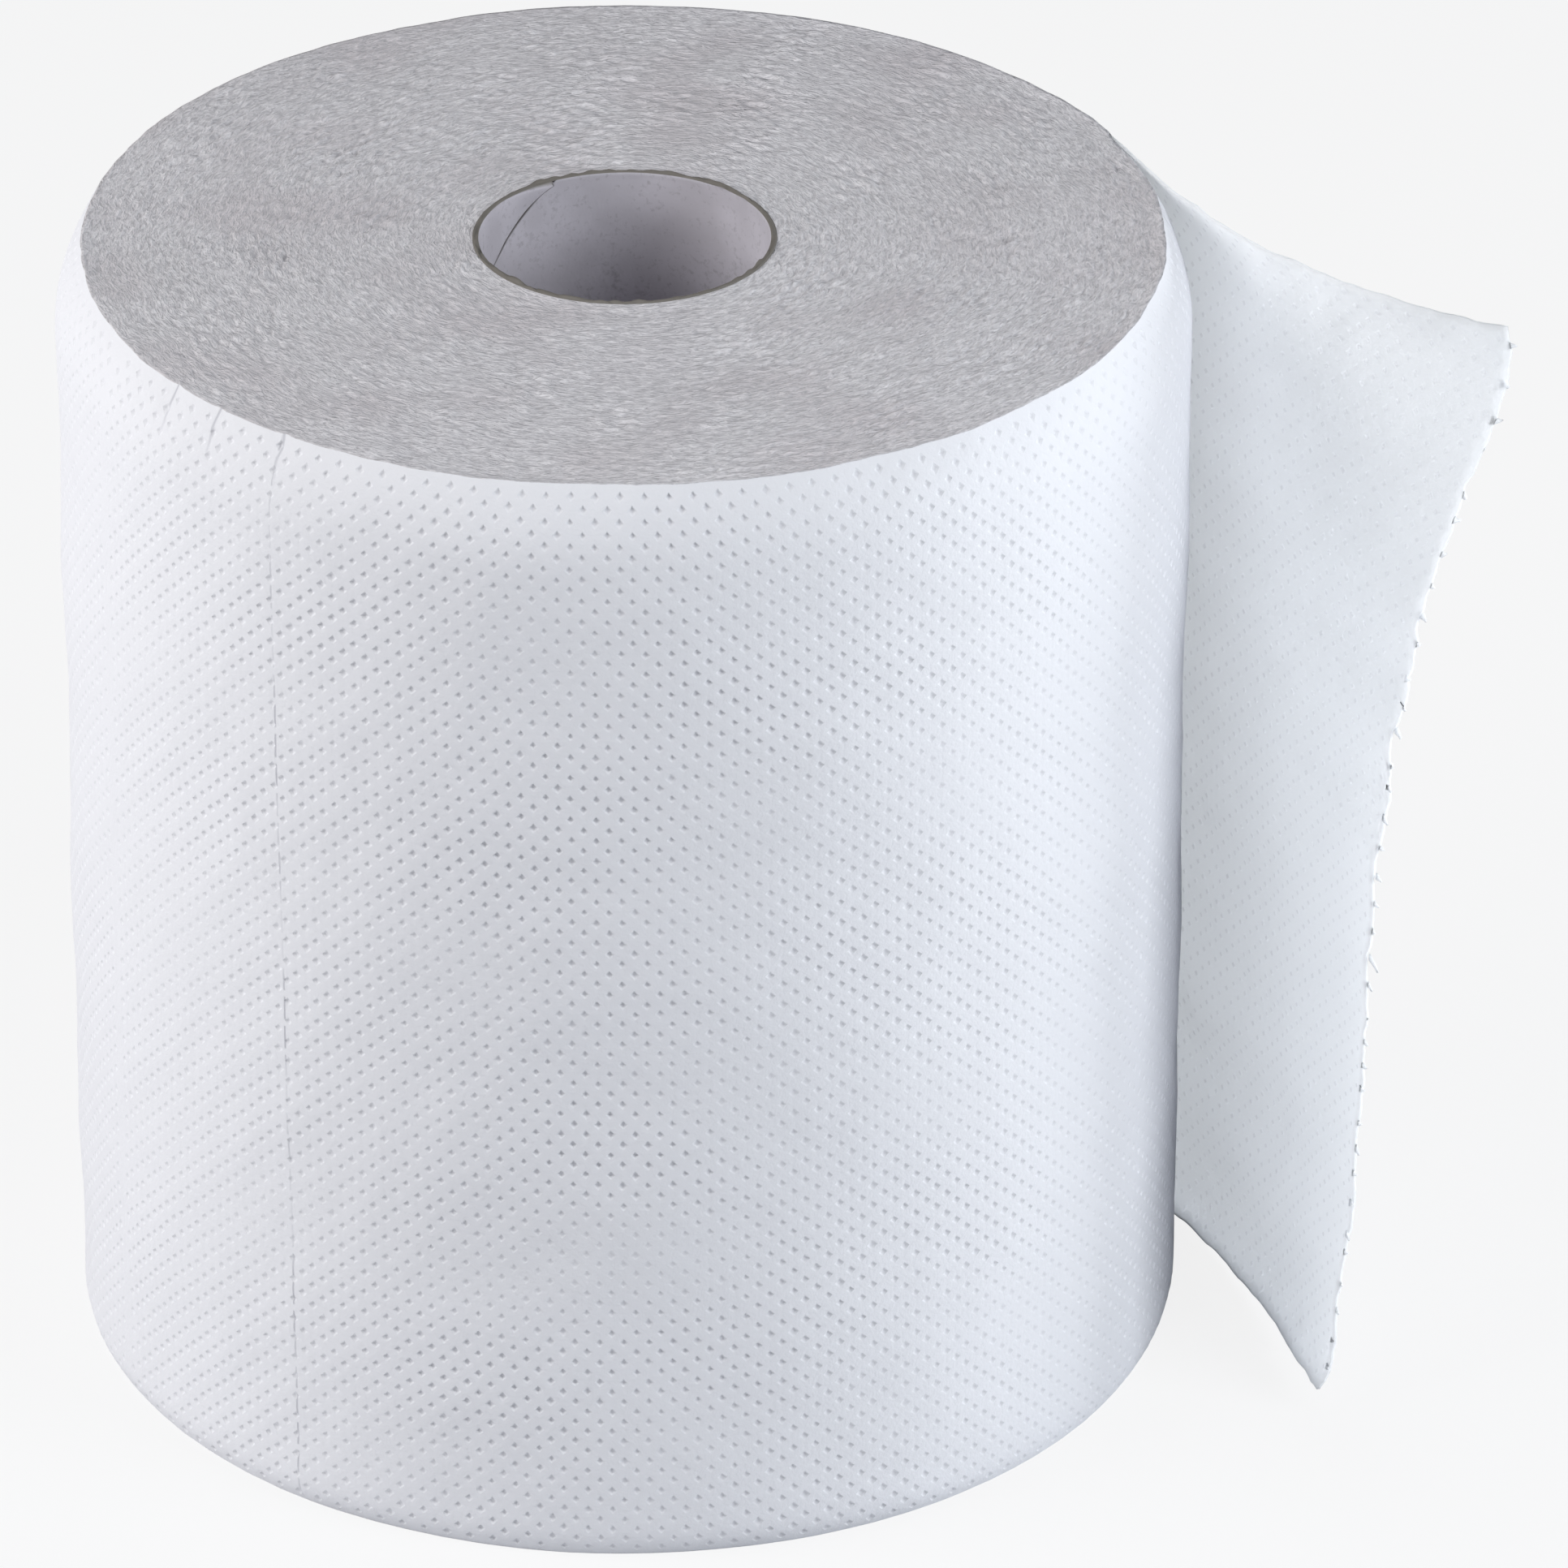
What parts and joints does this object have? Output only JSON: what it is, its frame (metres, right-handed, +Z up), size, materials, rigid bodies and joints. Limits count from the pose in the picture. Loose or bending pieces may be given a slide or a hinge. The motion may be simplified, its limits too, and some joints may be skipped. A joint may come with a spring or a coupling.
{
  "type": "paper towel roll",
  "caption": "White embossed paper towel wound on a cardboard tube, standing on its end, with the free tail of the sheet standing off its side.",
  "frame": {"origin": "on the axis of the core's bore, in the plane that the roll stands on", "axes": "+Z up along the core's bore, +X to the side where the tail stands off, -Y towards the viewer"},
  "size_m": [0.2444, 0.1945, 0.205],
  "materials": {
    "towel_paper": "soft white embossed tissue",
    "core_card": "dull grey-brown spiral-wound board"
  },
  "bodies": {
    "root": {"towel_web": "towel_paper", "core_tube": "core_card"}
  },
  "joints": []
}
